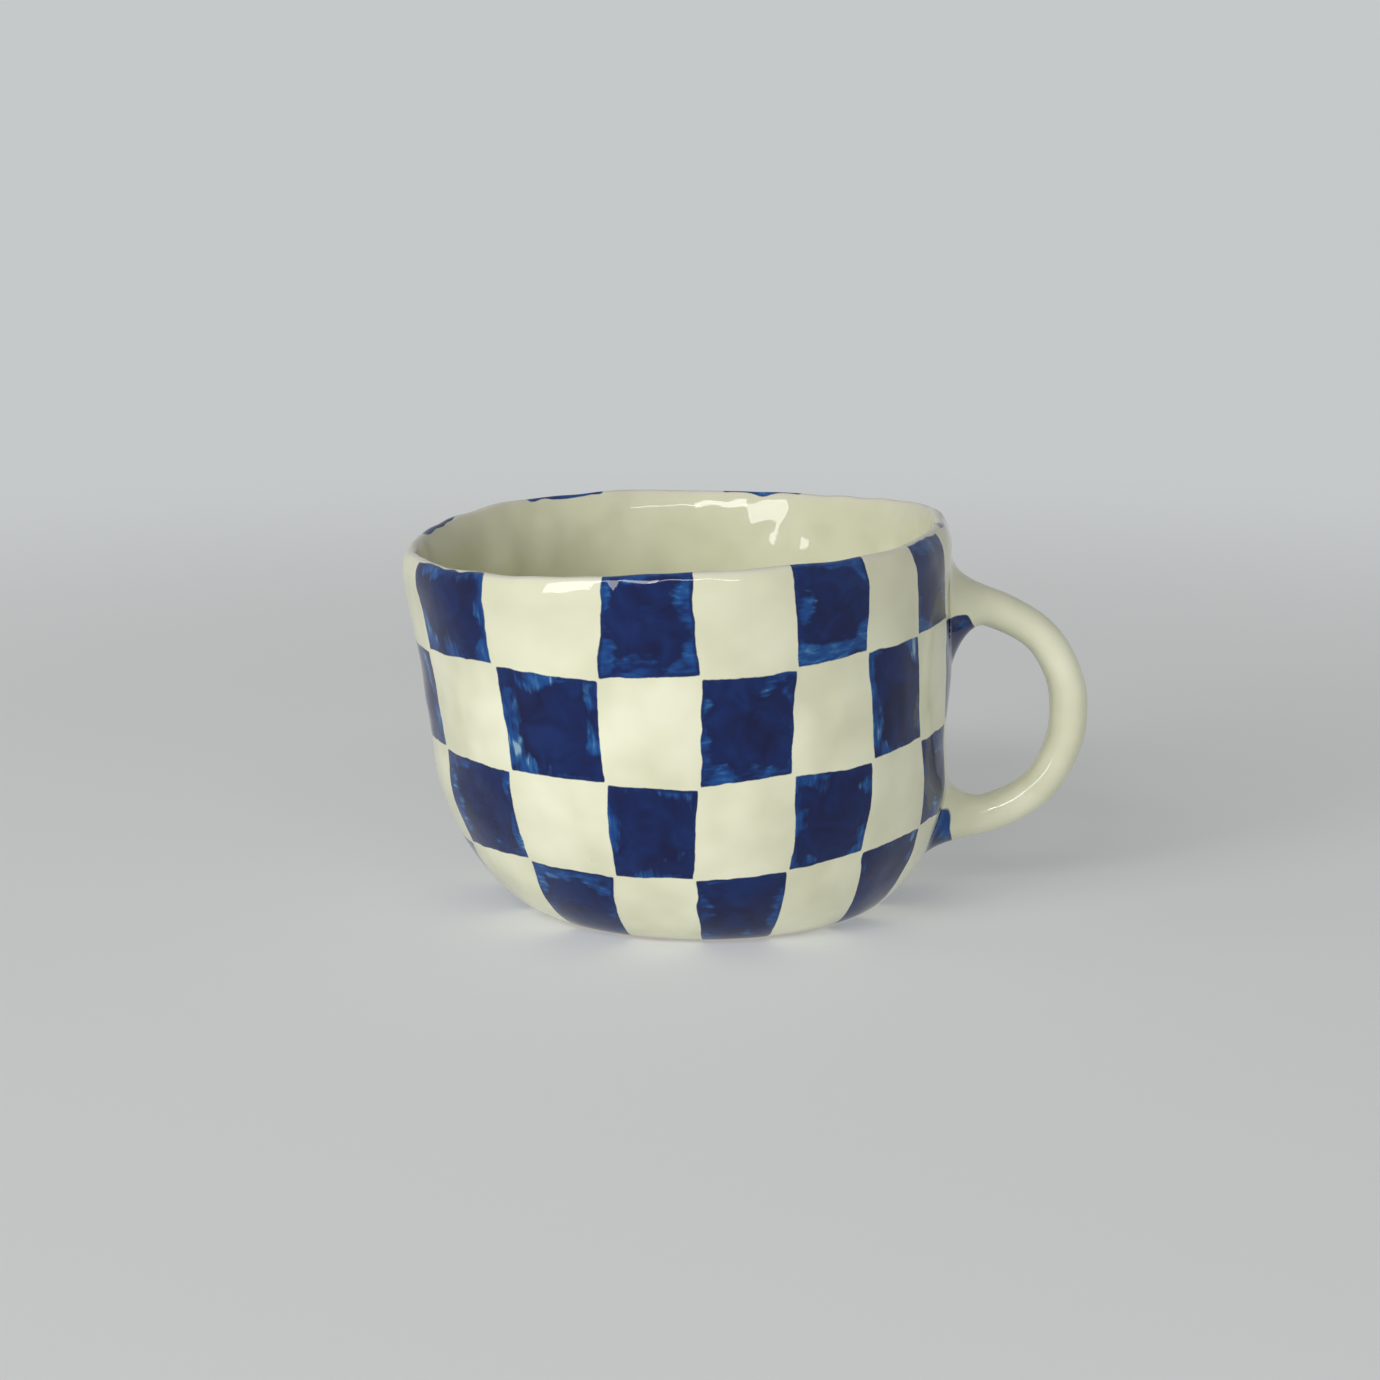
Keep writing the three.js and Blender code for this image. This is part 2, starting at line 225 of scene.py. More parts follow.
# One closed mesh from rings of points. The hubs are the middles of its two ends; without them
# the last ring joins the first. slots gives each band of faces its material.
def putMesh(name, points, normals, places, room, crest, materials, hubs=None, slots=None):
    rings, across = points.shape[:2]
    bands = rings if hubs is None else rings - 1
    index = np.arange(rings * across).reshape(rings, across)
    index = np.hstack([index, index[:, :1]])
    after = np.roll(np.arange(rings), -1)[:bands]
    faces = np.stack([index[:bands, :-1], index[:bands, 1:], index[after, 1:],
                      index[after, :-1]], -1).reshape(-1, 4).tolist()
    corners = [np.stack([places[:bands, :-1], places[:bands, 1:], places[after, 1:],
                         places[after, :-1]], -2).reshape(-1, 2)]
    slotOf = np.repeat(np.zeros(bands, int) if slots is None else slots[:bands], across)
    vertices, vertexNormals = points.reshape(-1, 3), normals.reshape(-1, 3)
    values = {"paintRoom": room.ravel(), "fromCrest": crest.ravel()}
    if hubs is not None:
        hub = len(vertices)
        last = rings - 1
        faces += [[hub, index[0, i + 1], index[0, i]] for i in range(across)]
        faces += [[hub + 1, index[last, i], index[last, i + 1]] for i in range(across)]
        for ring, order in ((0, (0, 1, 0)), (last, (0, 0, 1))):
            corners.append(np.stack([places[ring, step:across + step] for step in order], 1)
                           .reshape(-1, 2))
        slotOf = np.append(slotOf, np.repeat([slotOf[0], slotOf[-1]], across))
        vertices = np.vstack([vertices, hubs])
        ends = [normals[0].mean(axis=0), normals[last].mean(axis=0)]
        vertexNormals = np.vstack([vertexNormals, unit(np.array(ends))])
        values = {key: np.append(each, [each[0], each[-1]]) for key, each in values.items()}
    mesh = bpy.data.meshes.new(name)
    mesh.from_pydata((vertices * millimetre).tolist(), [], faces)
    mesh.polygons.foreach_set("use_smooth", [True] * len(mesh.polygons))
    for material in materials:
        mesh.materials.append(material)
    mesh.polygons.foreach_set("material_index", slotOf.tolist())
    layer = mesh.uv_layers.new(name="checks")
    layer.data.foreach_set("uv", np.vstack(corners).astype(np.float32).ravel())
    for key, each in values.items():
        attribute = mesh.attributes.new(key, "FLOAT", "POINT")
        attribute.data.foreach_set("value", each.astype(np.float32))
    mesh.normals_split_custom_set_from_vertices(vertexNormals.tolist())
    piece = bpy.data.objects.new(name, mesh)
    bpy.context.scene.collection.objects.link(piece)
    return piece


def linearColour(text):
    parts = [int(text[start:start + 2], 16) / 255 for start in (1, 3, 5)]
    return [part / 12.92 if part <= 0.04045 else ((part + 0.055) / 1.055) ** 2.4
            for part in parts] + [1.0]


# Adds a node. Sockets take a value, a hex colour, another node or one of its outputs. A Mix has
# its share at 0, numbers at 2 and 3, vectors at 4 and 5 and colours at 6 and 7.
def addNode(tree, kind, settings=None, sockets=None):
    node = tree.nodes.new("ShaderNode" + kind)
    for name, value in (settings or {}).items():
        if name == "stops":
            elements = node.color_ramp.elements
            while len(elements) < len(value):
                elements.new(1)
            for element, (place, text) in zip(elements, value):
                element.position, element.color = place, linearColour(text)
        else:
            setattr(node, name, value)
    for name, value in (sockets or {}).items():
        if isinstance(value, bpy.types.Node):
            value = value.outputs[0]
        if isinstance(value, bpy.types.NodeSocket):
            tree.links.new(value, node.inputs[name])
        else:
            node.inputs[name].default_value = (
                linearColour(value) if isinstance(value, str) else value)
    return node


def newMaterial(name):
    material = bpy.data.materials.new(name)
    material.use_nodes = True
    tree = material.node_tree
    tree.nodes.clear()
    place = addNode(tree, "TexCoord").outputs["Object"]
    return material, tree, place


# Clear glaze over white-slipped stoneware: a glassy skin, pooled into soft waves, over a
# slightly clouded cream body, greyer on the crest where it ran thin, with a painted shade that
# darkens the cream in a band below the rim
glaze = {
    "cream": [(0.32, "#DBDBBD"), (0.5, "#E5E5C8"), (0.66, "#ECECD1")],
    "cloudSize": 13,
    # its tone on the crest where the glaze ran thin, how much of that shows, and from and to how
    # far away
    "thinLip": "#DAD6C8", "lipTone": 0.6, "lipFrom": 0.6, "lipTo": 2.4,
    # painted shade: a darker cream in a band below the rim, how much of it shows, and from and
    # to how far below the crest
    "shadeBelowRim": "#D2D1B4", "shadeBelowRimTone": 0.55, "shadeBelowRimFrom": 2.0, "shadeBelowRimTo": 26,
    "speck": "#B0A888", "speckTone": 0.5, "speckSize": 3.4, "speckShare": 0.04,
    "speckCore": 0.03, "speckEdge": 0.1,  # shares of that size
    "waveSize": 4.0, "wave": 0.05,  # the glaze's slow waves
    "peelSize": 1.1, "peel": 0.004,  # and its orange peel, drawn coarser than real
    "bodyRoughness": 0.5, "coatRoughness": 0.02, "ior": 1.42,
}

# Cobalt underglaze from a flat brush: a thin streaky wash out to the edges, a dark second coat
# that stops short of them by a ragged margin, dark lines where the pigment dried at an edge,
# and wear along the crest of the rim
cobalt = {
    "column": 19, "row": 18.5,  # a check's usual size
    "wander": 0.05, "wanderSize": 9,
    "quiver": 0.05, "quiverSize": 4.5,
    "shy": 0.5,  # the most that a check's side stops short of its line
    "corner": 0.5, "rimCorner": 1.5,  # how far its corners are rounded
    "edge": 0.05, "soft": 0.25,  # where the paint's edge begins and how wide it bleeds
    "wash": [(0.32, "#86A4B8"), (0.37, "#2E649A"), (0.43, "#0C4888"), (0.53, "#043676"),
             (0.66, "#022862")],
    "washSize": 0.9, "strokeStretch": 4, "patchy": 0.45,
    "coat": [(0.34, "#000D40"), (0.5, "#00184E"), (0.66, "#01225C")],
    "coatSize": 6,
    "marginLeast": -2.6, "marginMost": 2.4, "marginSize": 6, "marginVaries": 2,
    "marginNoise": (0.66, 0.36),  # noise at which it is least and most
    "marginSoft": 2, "ragged": 3.4,
    "lineFrom": 0.48, "lineTo": 1.2, "lineTone": 0.8, "lineSize": 6,
    "lineNoise": (0.38, 0.48),  # noise below which a line has a gap, and above which it hasn't
    "wearFrom": 0.6, "wearTo": 1.2, "wearSize": 3.5, "wearNoise": (0.4, 0.58),
}


def creamBody(tree, place):
    cloud = addNode(tree, "TexNoise", None, {
        "Vector": place, "Scale": 1000 / glaze["cloudSize"], "Detail": 2.0})
    cream = addNode(tree, "ValToRGB", {"stops": glaze["cream"]}, {"Fac": cloud})
    crest = addNode(tree, "Attribute", {"attribute_name": "fromCrest"})
    away = addNode(tree, "Math", {"operation": "ABSOLUTE"}, {0: crest.outputs["Fac"]})
    thin = addNode(tree, "MapRange", {"interpolation_type": "SMOOTHSTEP"}, {
        "Value": away, "From Min": glaze["lipFrom"], "From Max": glaze["lipTo"],
        "To Min": glaze["lipTone"], "To Max": 0.0})
    # painted shade: the cream darkens in a band below the rim, inside and out
    top = addNode(tree, "MapRange", {"interpolation_type": "SMOOTHSTEP"}, {
        "Value": away, "From Min": glaze["shadeBelowRimFrom"], "From Max": glaze["shadeBelowRimTo"],
        "To Min": glaze["shadeBelowRimTone"], "To Max": 0.0})
    cream = addNode(tree, "Mix", {"data_type": "RGBA"}, {
        0: top, 6: cream, 7: glaze["shadeBelowRim"]}).outputs[2]
    cream = addNode(tree, "Mix", {"data_type": "RGBA"}, {
        0: thin, 6: cream, 7: glaze["thinLip"]}).outputs[2]
    grains = addNode(tree, "TexVoronoi", None, {
        "Vector": place, "Scale": 1000 / glaze["speckSize"]})
    chance = addNode(tree, "SeparateColor", None, {0: grains.outputs["Color"]})
    few = addNode(tree, "Math", {"operation": "LESS_THAN"}, {0: chance, 1: glaze["speckShare"]})
    dot = addNode(tree, "MapRange", {"interpolation_type": "SMOOTHSTEP"}, {
        "Value": grains.outputs["Distance"], "From Min": glaze["speckCore"],
        "From Max": glaze["speckEdge"], "To Min": glaze["speckTone"], "To Max": 0.0})
    seen = addNode(tree, "Math", {"operation": "MULTIPLY"}, {0: few, 1: dot})
    speckled = addNode(tree, "Mix", {"data_type": "RGBA"}, {
        0: seen, 6: cream, 7: glaze["speck"]})
    return speckled.outputs[2]


def checkPaint(tree, place, cream):
    grid = addNode(tree, "UVMap", {"uv_map": "checks"})
    wander = addNode(tree, "TexNoise", None, {
        "Vector": place, "Scale": 1000 / cobalt["wanderSize"], "Detail": 1.0})
    quiver = addNode(tree, "TexNoise", None, {
        "Vector": place, "Scale": 1000 / cobalt["quiverSize"], "Detail": 3.0})
    far, near = cobalt["wander"], cobalt["quiver"]
    swayed = addNode(tree, "VectorMath", {"operation": "MULTIPLY_ADD"}, {
        0: wander.outputs["Color"], 1: (far, far, 0), 2: grid})
    swayed = addNode(tree, "VectorMath", {"operation": "MULTIPLY_ADD"}, {
        0: quiver.outputs["Color"], 1: (near, near, 0), 2: swayed})
    swayed = addNode(tree, "VectorMath", {"operation": "SUBTRACT"}, {
        0: swayed, 1: ((far + near) / 2, (far + near) / 2, 0)})
    cell = addNode(tree, "VectorMath", {"operation": "FLOOR"}, {0: swayed})
    part = addNode(tree, "VectorMath", {"operation": "FRACTION"}, {0: swayed})
    count = len(checks["lines"])
    own = addNode(tree, "VectorMath", {"operation": "WRAP"}, {
        0: cell, 1: (count, count, count), 2: (0, 0, 0)})
    chance = addNode(tree, "TexWhiteNoise", None, {"Vector": own})
    # how far a point is from its check's four sides
    size = (cobalt["column"], cobalt["row"], 1)
    fromLow = addNode(tree, "VectorMath", {"operation": "MULTIPLY"}, {0: part, 1: size})
    fromHigh = addNode(tree, "VectorMath", {"operation": "SUBTRACT"}, {0: size, 1: fromLow})
    shy = addNode(tree, "VectorMath", {"operation": "SCALE"}, {
        0: chance.outputs["Color"], "Scale": cobalt["shy"]})
    fromLow = addNode(tree, "VectorMath", {"operation": "SUBTRACT"}, {0: fromLow, 1: shy})
    nearest = addNode(tree, "VectorMath", {"operation": "MINIMUM"}, {0: fromLow, 1: fromHigh})
    sides = addNode(tree, "SeparateXYZ", None, {0: nearest})
    edge = addNode(tree, "Math", {"operation": "SMOOTH_MIN"}, {
        0: sides.outputs[0], 1: sides.outputs[1], 2: cobalt["corner"]})
    # blue where the column and the row add up to an even number
    turn = addNode(tree, "VectorMath", {"operation": "DOT_PRODUCT"}, {0: cell, 1: (0.5, 0.5, 0)})
    turn = addNode(tree, "Math", {"operation": "FRACT"}, {0: turn.outputs["Value"]})
    blue = addNode(tree, "Math", {"operation": "LESS_THAN"}, {0: turn, 1: 0.25})
    room = addNode(tree, "Attribute", {"attribute_name": "paintRoom"}).outputs["Fac"]
    edge = addNode(tree, "Math", {"operation": "SMOOTH_MIN"}, {
        0: edge, 1: room, 2: cobalt["rimCorner"]})
    inside = addNode(tree, "MapRange", {"interpolation_type": "SMOOTHSTEP"}, {
        "Value": edge, "From Min": cobalt["edge"], "From Max": cobalt["edge"] + cobalt["soft"]})
    mask = addNode(tree, "Math", {"operation": "MULTIPLY"}, {0: inside, 1: blue})
    # the wash: strokes run level in some checks and upright in others
    stretch = cobalt["strokeStretch"]
    level = addNode(tree, "VectorMath", {"operation": "DIVIDE"}, {0: fromHigh, 1: (
        cobalt["washSize"] * stretch, cobalt["washSize"], 1)})
    upright = addNode(tree, "VectorMath", {"operation": "DIVIDE"}, {0: fromHigh, 1: (
        cobalt["washSize"], cobalt["washSize"] * stretch, 1)})
    whichWay = addNode(tree, "Math", {"operation": "GREATER_THAN"}, {
        0: chance.outputs["Value"], 1: 0.5})
    course = addNode(tree, "Mix", {"data_type": "VECTOR"}, {0: whichWay, 4: level, 5: upright})
    streak = addNode(tree, "TexNoise", {"noise_dimensions": "4D"}, {
        "Vector": course.outputs[1], "W": chance.outputs["Value"], "Scale": 1.0, "Detail": 4.0})
    patch = addNode(tree, "TexNoise", None, {
        "Vector": place, "Scale": 1000 / cobalt["marginSize"], "Detail": 2.0, "Roughness": 0.4,
        "Distortion": 0.3})
    washTone = addNode(tree, "Mix", None, {0: cobalt["patchy"], 2: streak, 3: patch})
    wash = addNode(tree, "ValToRGB", {"stops": cobalt["wash"]}, {"Fac": washTone})
    # the second coat
    pool = addNode(tree, "TexNoise", None, {
        "Vector": place, "Scale": 1000 / cobalt["coatSize"], "Detail": 2.0, "Distortion": 0.8})
    coat = addNode(tree, "ValToRGB", {"stops": cobalt["coat"]}, {"Fac": pool})
    margin = addNode(tree, "MapRange", None, {
        "Value": patch, "From Min": cobalt["marginNoise"][0],
        "From Max": cobalt["marginNoise"][1], "To Min": cobalt["marginLeast"],
        "To Max": cobalt["marginMost"]})
    past = addNode(tree, "Math", {"operation": "SUBTRACT"}, {0: edge, 1: margin})
    past = addNode(tree, "Math", {"operation": "MULTIPLY_ADD"}, {
        0: streak, 1: cobalt["ragged"], 2: past})
    past = addNode(tree, "Math", {"operation": "MULTIPLY_ADD"}, {
        0: chance.outputs["Value"], 1: cobalt["marginVaries"], 2: past})
    half = (cobalt["marginVaries"] + cobalt["ragged"]) / 2
    covered = addNode(tree, "MapRange", {"interpolation_type": "SMOOTHSTEP"}, {
        "Value": past, "From Min": half, "From Max": half + cobalt["marginSoft"]})
    # the dried edge, with gaps
    lined = addNode(tree, "TexNoise", None, {
        "Vector": place, "Scale": 1000 / cobalt["lineSize"], "Detail": 0.0})
    lined = addNode(tree, "MapRange", {"interpolation_type": "SMOOTHSTEP"}, {
        "Value": lined, "From Min": cobalt["lineNoise"][0], "From Max": cobalt["lineNoise"][1]})
    line = addNode(tree, "MapRange", {"interpolation_type": "SMOOTHSTEP"}, {
        "Value": edge, "From Min": cobalt["lineFrom"], "From Max": cobalt["lineTo"],
        "To Min": cobalt["lineTone"], "To Max": 0.0})
    line = addNode(tree, "Math", {"operation": "MULTIPLY"}, {0: line, 1: lined})
    # worn spots along the crest
    crest = addNode(tree, "Attribute", {"attribute_name": "fromCrest"}).outputs["Fac"]
    away = addNode(tree, "Math", {"operation": "ABSOLUTE"}, {0: crest})
    worn = addNode(tree, "MapRange", {"interpolation_type": "SMOOTHSTEP"}, {
        "Value": away, "From Min": cobalt["wearFrom"], "From Max": cobalt["wearTo"],
        "To Min": 1.0, "To Max": 0.0})
    rubbed = addNode(tree, "TexNoise", None, {
        "Vector": place, "Scale": 1000 / cobalt["wearSize"], "Detail": 2.0})
    rubbed = addNode(tree, "MapRange", {"interpolation_type": "SMOOTHSTEP"}, {
        "Value": rubbed, "From Min": cobalt["wearNoise"][0],
        "From Max": cobalt["wearNoise"][1]})
    worn = addNode(tree, "Math", {"operation": "MULTIPLY"}, {0: worn, 1: rubbed})
    covered = addNode(tree, "Math", {"operation": "MAXIMUM"}, {0: covered, 1: line})
    covered = addNode(tree, "Math", {"operation": "SUBTRACT", "use_clamp": True}, {
        0: covered, 1: worn})
    tone = addNode(tree, "Mix", {"data_type": "RGBA"}, {0: covered, 6: wash, 7: coat})
    painted = addNode(tree, "Mix", {"data_type": "RGBA"}, {
        0: mask, 6: cream, 7: tone.outputs[2]})
    return painted.outputs[2]


def glazeOver(tree, place, colour):
    wave = addNode(tree, "TexNoise", None, {
        "Vector": place, "Scale": 1000 / glaze["waveSize"], "Detail": 1.0})
    peel = addNode(tree, "TexNoise", None, {
        "Vector": place, "Scale": 1000 / glaze["peelSize"], "Detail": 1.0})
    height = addNode(tree, "Math", {"operation": "MULTIPLY_ADD"}, {
        0: peel, 1: glaze["peel"] / glaze["wave"], 2: wave})
    bump = addNode(tree, "Bump", None, {
        "Height": height, "Strength": 1.0, "Distance": glaze["wave"] * millimetre})
    shader = addNode(tree, "BsdfPrincipled", None, {
        "Base Color": colour, "Roughness": glaze["bodyRoughness"], "IOR": glaze["ior"],
        "Specular IOR Level": 0.0, "Coat Weight": 1.0, "Coat Roughness": glaze["coatRoughness"],
        "Coat IOR": glaze["ior"], "Normal": bump, "Coat Normal": bump})
    addNode(tree, "OutputMaterial", None, {"Surface": shader})


def makeCreamGlaze():
    material, tree, place = newMaterial("creamGlaze")
    glazeOver(tree, place, creamBody(tree, place))
    return material


def makeCheckedGlaze():
    material, tree, place = newMaterial("cobaltCheckGlaze")
    glazeOver(tree, place, checkPaint(tree, place, creamBody(tree, place)))
    return material


# Fired stoneware left bare where the mug stood in the kiln: dry and sandy, warmer by the glaze
clay = {
    "stops": [(0.3, "#C4AE8C"), (0.55, "#D2C0A2"), (0.75, "#DDCFB6")],
    "grainSize": 0.9, "grain": 0.05, "roughness": 0.85, "ior": 1.5,
    "cloudSize": 12.5, "cloud": 0.5,
    "flash": "#B98A5C", "flashTone": 0.55, "flashFrom": 27, "flashTo": 33,
}


def makeBareStoneware():
    material, tree, place = newMaterial("bareStoneware")
    grain = addNode(tree, "TexNoise", None, {
        "Vector": place, "Scale": 1000 / clay["grainSize"], "Detail": 4.0, "Roughness": 0.6})
    cloud = addNode(tree, "TexNoise", None, {
        "Vector": place, "Scale": 1000 / clay["cloudSize"], "Detail": 3.0})
    both = addNode(tree, "Math", {"operation": "MULTIPLY_ADD"}, {
        0: cloud, 1: clay["cloud"], 2: grain})
    both = addNode(tree, "Math", {"operation": "SUBTRACT"}, {0: both, 1: clay["cloud"] / 2})
    sandy = addNode(tree, "ValToRGB", {"stops": clay["stops"]}, {"Fac": both})
    level = addNode(tree, "VectorMath", {"operation": "MULTIPLY"}, {0: place, 1: (1, 1, 0)})
    outwards = addNode(tree, "VectorMath", {"operation": "LENGTH"}, {0: level})
    flash = addNode(tree, "MapRange", {"interpolation_type": "SMOOTHSTEP"}, {
        "Value": outwards.outputs["Value"], "From Min": clay["flashFrom"] * millimetre,
        "From Max": clay["flashTo"] * millimetre, "To Max": clay["flashTone"]})
    toned = addNode(tree, "Mix", {"data_type": "RGBA"}, {0: flash, 6: sandy, 7: clay["flash"]})
    bump = addNode(tree, "Bump", None, {
        "Height": grain, "Strength": 1.0, "Distance": clay["grain"] * millimetre})
    shader = addNode(tree, "BsdfPrincipled", None, {
        "Base Color": toned.outputs[2], "Roughness": clay["roughness"], "IOR": clay["ior"],
        "Normal": bump})
    addNode(tree, "OutputMaterial", None, {"Surface": shader})
    return material


creamGlaze = makeCreamGlaze()
checkedGlaze = makeCheckedGlaze()
bareStoneware = makeBareStoneware()
print("finishes made")


# Shares from 0 to 1, as a column that meets a row of directions. A power above 1 gathers them
# at the start.
def shares(count, power=1.0):
    return (np.linspace(0, 1, count + 1) ** power)[:, None]


def between(low, high, count, power=1.0):
    return low + (high - low) * shares(count, power)


# How much thicker the fingers left the wall inside: lumps below the rim, and upright hollows
# from there down to the corner coil
def innerTouch(angle, z, crest):
    angle, z = np.broadcast_arrays(angle, z)
    below = crest - z
    spot = onCircle(angle, cup["bellyRadius"] + 0 * z, z)
    lumps = touch["pinch"] * clayNoise(spot + readAt["pinch"], touch["pinchSize"])
    lumps = (lumps * smoothStep(touch["pinchFrom"], touch["pinchWhole"], below)
             * smoothStep(touch["pinchGone"], touch["pinchFades"], below))
    spot[..., 2] *= touch["fluteWidth"] / touch["fluteLength"]
    flutes = touch["flute"] * clayNoise(spot + readAt["flute"], touch["fluteWidth"])
    flutes = flutes * smoothStep(touch["fluteFrom"], touch["fluteWhole"], below)
    return (flutes + lumps) * smoothStep(seamTop, seamTop + touch["seamCalm"], z)


lip = {
    # its section from the outside over the crest to the inside: length of each bend, degrees
    "bends": [(3.2, 18), (1.9, 14), (1.3, 58), (1, 66), (1, 3), (5, 15), (6, 6)],
    "toCrest": 3,  # how many of them lie outside the crest
    "blend": 18,  # how far below the lip the inside is back to the wall's own thickness
    "paintWander": 0.9, "paintWanderSize": 4,
}


# The lip in section: how far in from the outside and how far below the crest, point by point
def lipSection():
    turned, inset, rise = 0.0, [0.0], [0.0]
    for length, degrees in lip["bends"]:
        for step in range(steps["lip"]):
            middle = math.radians(turned + degrees * (step + 0.5) / steps["lip"])
            inset.append(inset[-1] + length / steps["lip"] * math.sin(middle))
            rise.append(rise[-1] + length / steps["lip"] * math.cos(middle))
        turned += degrees
    inset, rise = np.array(inset)[:, None], np.array(rise)[:, None]
    top = lip["toCrest"] * steps["lip"]
    return inset, rise[top] - rise, top


# The whole skin of the cup as rings: from the middle of the underside up the outside, over the
# rim, down the inside and in to the middle of the floor
def cupSkin():
    start = math.radians(checks["firstLine"] - 90)
    angle = start + fullTurn * np.arange(steps["around"]) / steps["around"]
    here = onCircle(angle, cup["bellyRadius"] + 0 * angle, 0 * angle)
    crest = (cup["height"] + cup["rimWave"] * aroundTable(cup["rimShares"], angle)
             - touch["crestDrop"]
             + touch["crestWobble"] * (clayNoise(here, touch["crestSize"]) - 0.5))
    # underside and outside
    out = shares(steps["under"])[1:]
    flat = cup["baseRadius"] - touch["skin"] + fingerPush(angle, 0 * angle)
    under = onCircle(angle, flat * out, 0 * out * angle)
    uneven = touch["hollowUneven"] * clayNoise(under + readAt["hollow"], touch["hollowSize"])
    under[..., 2] = touch["hollow"] * (1 - out ** 2) * (1 + uneven)
    glazeLine = (touch["glazeLine"]
                 + touch["glazeWander"] * clayNoise(here, touch["glazeWanderSize"]))
    foot = cupPoint(angle, between(0, glazeLine, steps["foot"], 2))
    belly = cupPoint(angle, between(glazeLine, cup["floor"], steps["belly"], 1.3))
    inset, below, top = lipSection()
    outside = cupPoint(angle, between(cup["floor"], crest - below[0], steps["outside"]))
    # lip
    fall = crest - below
    nips = touch["nip"] * clayNoise(onCircle(angle, cup["rimRadius"] - 2 * inset, fall),
                                    touch["nipSize"])
    nips = nips * np.sin(math.pi * np.linspace(0, 1, len(inset))[:, None]) ** 0.5
    thicker = np.zeros(fall.shape)
    thicker[top:] = innerTouch(angle, fall[top:], crest)
    over = cupPoint(angle, fall, inset + nips + thicker)
    lipOut, lipIn = over[:top + 1], over[top:]
    # inside, corner coil and floor
    lipEnd = crest - below[-1]
    down = between(lipEnd, seamTop, steps["inside"], 0.9)
    extra = (inset[-1] - thicknessAt(lipEnd)) * smoothStep(lip["blend"], 0, lipEnd - down)
    inside = cupPoint(angle, down, thicknessAt(down) + extra + innerTouch(angle, down, crest))
    bend = math.pi / 2 * shares(steps["seam"])
    low = seamTop - cup["seam"] * np.sin(bend)
    fillet = cupPoint(angle, low, thicknessAt(low) + cup["seam"] * (1 - np.cos(bend)))
    centre = np.array([bodyMiddle(cup["floor"]), 0, cup["floor"]])
    inward = shares(steps["floor"])[:-1]
    floor = centre + (fillet[-1] - centre) * (1 - inward)[..., None]
    lumps = clayNoise(floor, touch["floorLumpSize"]) * smoothStep(0, touch["floorCalm"], inward)
    floor[..., 2] += touch["floorLump"] * lumps
    # neighbours share a ring, which is kept once; the marks say where each of them begins
    parts = [under, foot, belly, outside, lipOut, lipIn, inside, fillet, floor]
    marks, rows = {}, [under]
    for name, part in zip(["foot", "glazeLine", "slabTop", "shoulder", "crest", "lipEnd",
                           "seamTop", "toe"], parts[1:]):
        marks[name] = sum(len(done) for done in rows) - 1
        rows.append(part[1:])
    return angle, np.concatenate(rows), marks


def makeCup():
    angle, skin, marks = cupSkin()
    normals = gridNormals(skin)
    ends = np.append(angle, angle[0] + fullTurn)
    places = checkPlace(ends, np.hstack([skin, skin[:, :1]])[..., 2])
    lengths = np.cumsum(np.linalg.norm(np.diff(skin, axis=0, prepend=skin[:1]), axis=-1), axis=0)
    here = onCircle(angle, cup["rimRadius"] + 0 * angle, 0 * angle)
    wander = lip["paintWander"] * clayNoise(here + readAt["rimPaint"], lip["paintWanderSize"])
    # which blue column of the top row each direction is in or next to
    brushed = np.round((places[marks["crest"], :-1, 0] - 0.5) / 2).astype(int)
    brushed = brushed % len(checks["over"])
    fromCrest = lengths[marks["crest"]] - lengths
    room = fromCrest + np.array(checks["over"])[brushed] + wander
    behind = between(seamTop, cup["floor"], steps["hidden"])[1:] + 0 * angle
    wallBack = cupPoint(angle, behind, thicknessAt(behind))
    seamBack = wallBack[::-1]
    wallRun = slice(marks["slabTop"], marks["seamTop"] + 1)
    seamRun = slice(marks["seamTop"], marks["toe"] + 1)
    slabRuns = [slice(0, marks["slabTop"] + 1), slice(marks["toe"], len(skin))]

    def withBack(run, back):
        points = np.concatenate([skin[run], back])
        facing = gridNormals(points)
        facing[:len(skin[run])] = normals[run]
        last = np.repeat([run.stop - 1], len(back))
        return (points, facing, *(np.concatenate([values[run], values[last]])
                                  for values in (places, room, fromCrest)))

    wall = putMesh("cupWall", *withBack(wallRun, wallBack), [checkedGlaze])
    seam = putMesh("floorSeamCoil", *withBack(seamRun, seamBack), [creamGlaze])
    slab = [np.concatenate([values[run] for run in slabRuns])
            for values in (skin, normals, places, room, fromCrest)]
    hubs = [[0, 0, touch["hollow"]], slab[0][-1].mean(axis=0)]
    slots = np.where(np.arange(len(slab[0])) < marks["glazeLine"], 0, 1)
    floor = putMesh("floorSlab", *slab, [bareStoneware, checkedGlaze], hubs, slots)
    return {"cup_wall": (wall, "painted_glaze"), "floor_seam_coil": (seam, "cream_glaze"),
            "floor_slab": (floor, "bare_stoneware")}


handle = {
    "reach": 22.8, "thickness": 7.3, "width": 8.6, "swell": 0.2, "swells": 2.5,
    # middle of the coil: shares of the reach, shares of the way up between the two roots
    "curve": [(0, 1), (0.3, 0.957), (0.55, 0.9), (0.78, 0.813), (0.975, 0.626), (1, 0.5),
              (0.983, 0.374), (0.813, 0.183), (0.647, 0.103), (0.3, 0.025), (0, 0)],
    "easing": 12,  # length over which a bend of that line is evened out
    "start": 0.115, "end": 0.885,  # where the bare coil begins and ends
    "skin": 0.08, "lump": 0.16, "lumpSize": 8,
    "sink": 0.07,  # how far a root's smeared edge goes under the wall's skin
    "meltAway": 0.4,  # stand-off over which a root takes on the wall's own curve
    "paintWander": 1.2, "paintWanderSize": 4,
    "noPaint": -20, "farFromCrest": 40,  # no check, no thin glaze on the crest and no painted shade below the rim on the coil
}

